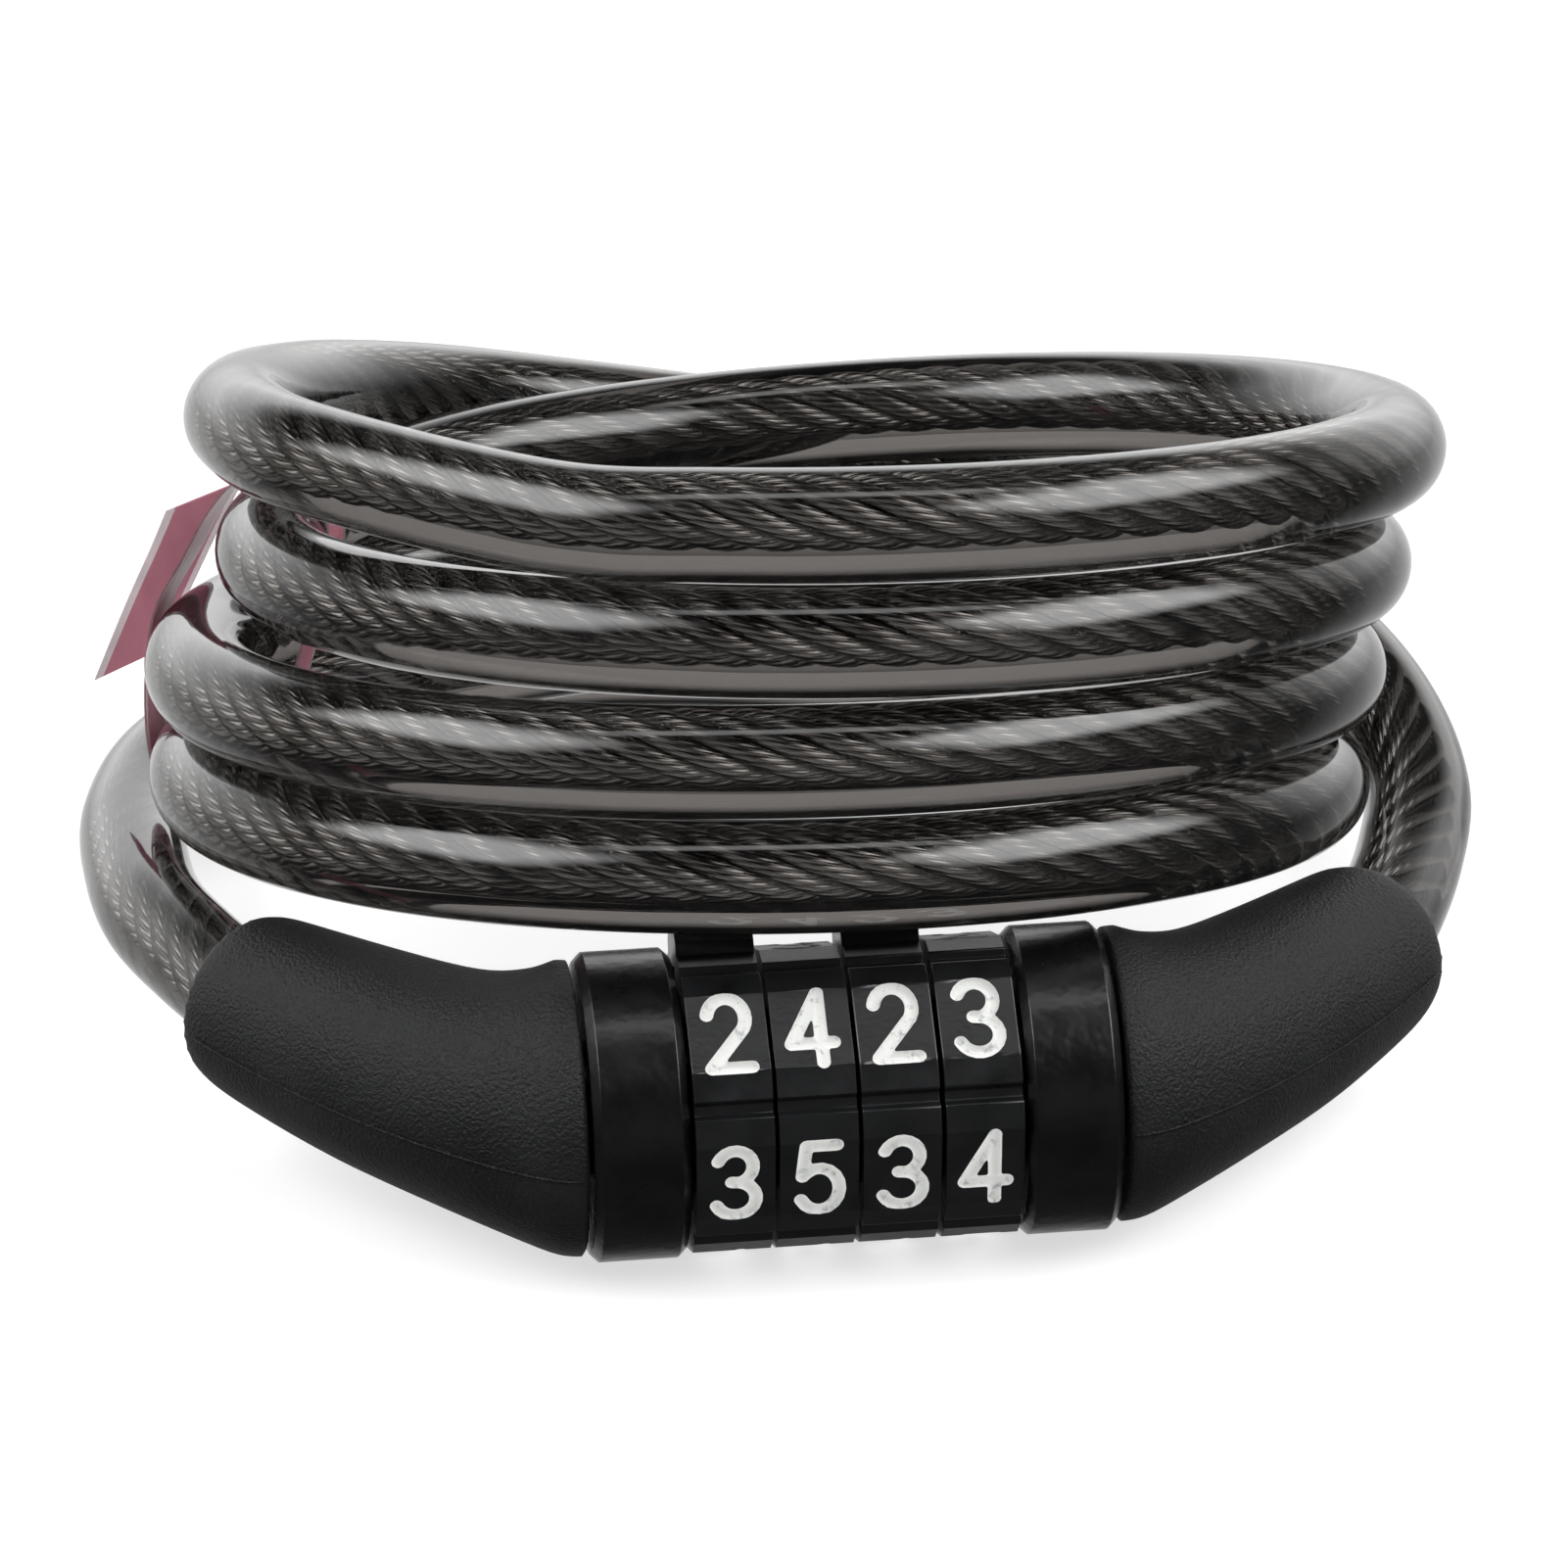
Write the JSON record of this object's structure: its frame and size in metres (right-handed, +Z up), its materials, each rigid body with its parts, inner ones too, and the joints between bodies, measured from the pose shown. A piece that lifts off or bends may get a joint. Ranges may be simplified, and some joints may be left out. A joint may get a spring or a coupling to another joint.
{
  "type": "cable lock",
  "caption": "Combination cable lock for bicycles: number dials between two collars, rubber boots and a coiled steel cable in a smoked clear sleeve.",
  "frame": {"origin": "on the surface that the lock rests on, under the middle of the lock without its cable", "axes": "+X along the lock's axis, towards the plug that pulls out; +Y from the number windows towards the coil; +Z up"},
  "size_m": [0.1022, 0.1062, 0.0546],
  "materials": {
    "enamel": "glossy black baked enamel",
    "dial_black": "satin black moulded plastic with white numbers",
    "rubber": "matte black moulded rubber",
    "vinyl": "smoked clear vinyl sleeve over wire rope",
    "zinc": "die-cast zinc alloy",
    "spring_steel": "polished spring steel",
    "rope": "laid steel wire",
    "film": "clear and maroon plastic film"
  },
  "bodies": {
    "lock": {"lock_body": "enamel", "wave_spring": "spring_steel", "detent_spring": "spring_steel", "retaining_ring": "spring_steel", "left_boot": "rubber", "left_ferrule": "zinc", "left_rope_end": "rope", "left_cross_pin": "spring_steel", "cable_coil": "vinyl", "cable_return": "vinyl", "cable_lead_left": "vinyl", "bundle_tie": "film"},
    "plug": {"plug_collar": "enamel", "plug_shank": "zinc", "right_boot": "rubber", "right_ferrule": "zinc", "right_rope_end": "rope", "right_cross_pin": "spring_steel", "cable_lead_right": "vinyl"},
    "dial_1": {"dial_1": "dial_black", "clutch_ring_1": "zinc"},
    "dial_2": {"dial_2": "dial_black", "clutch_ring_2": "zinc"},
    "dial_3": {"dial_3": "dial_black", "clutch_ring_3": "zinc"},
    "dial_4": {"dial_4": "dial_black", "clutch_ring_4": "zinc"}
  },
  "joints": [
    {"name": "plug_slide", "type": "slide", "parent": "lock", "child": "plug", "axis": [1, 0, 0], "range_m": [0, 0.03]},
    {"name": "dial_1_turn", "type": "hinge", "parent": "lock", "child": "dial_1", "pos_m": [-0.00863, -0.00584, 0.01075], "axis": [1, 0, 0], "continuous": true},
    {"name": "dial_2_turn", "type": "hinge", "parent": "lock", "child": "dial_2", "pos_m": [-0.00287, -0.00584, 0.01075], "axis": [1, 0, 0], "continuous": true},
    {"name": "dial_3_turn", "type": "hinge", "parent": "lock", "child": "dial_3", "pos_m": [0.00287, -0.00584, 0.01075], "axis": [1, 0, 0], "continuous": true},
    {"name": "dial_4_turn", "type": "hinge", "parent": "lock", "child": "dial_4", "pos_m": [0.00863, -0.00584, 0.01075], "axis": [1, 0, 0], "continuous": true}
  ]
}
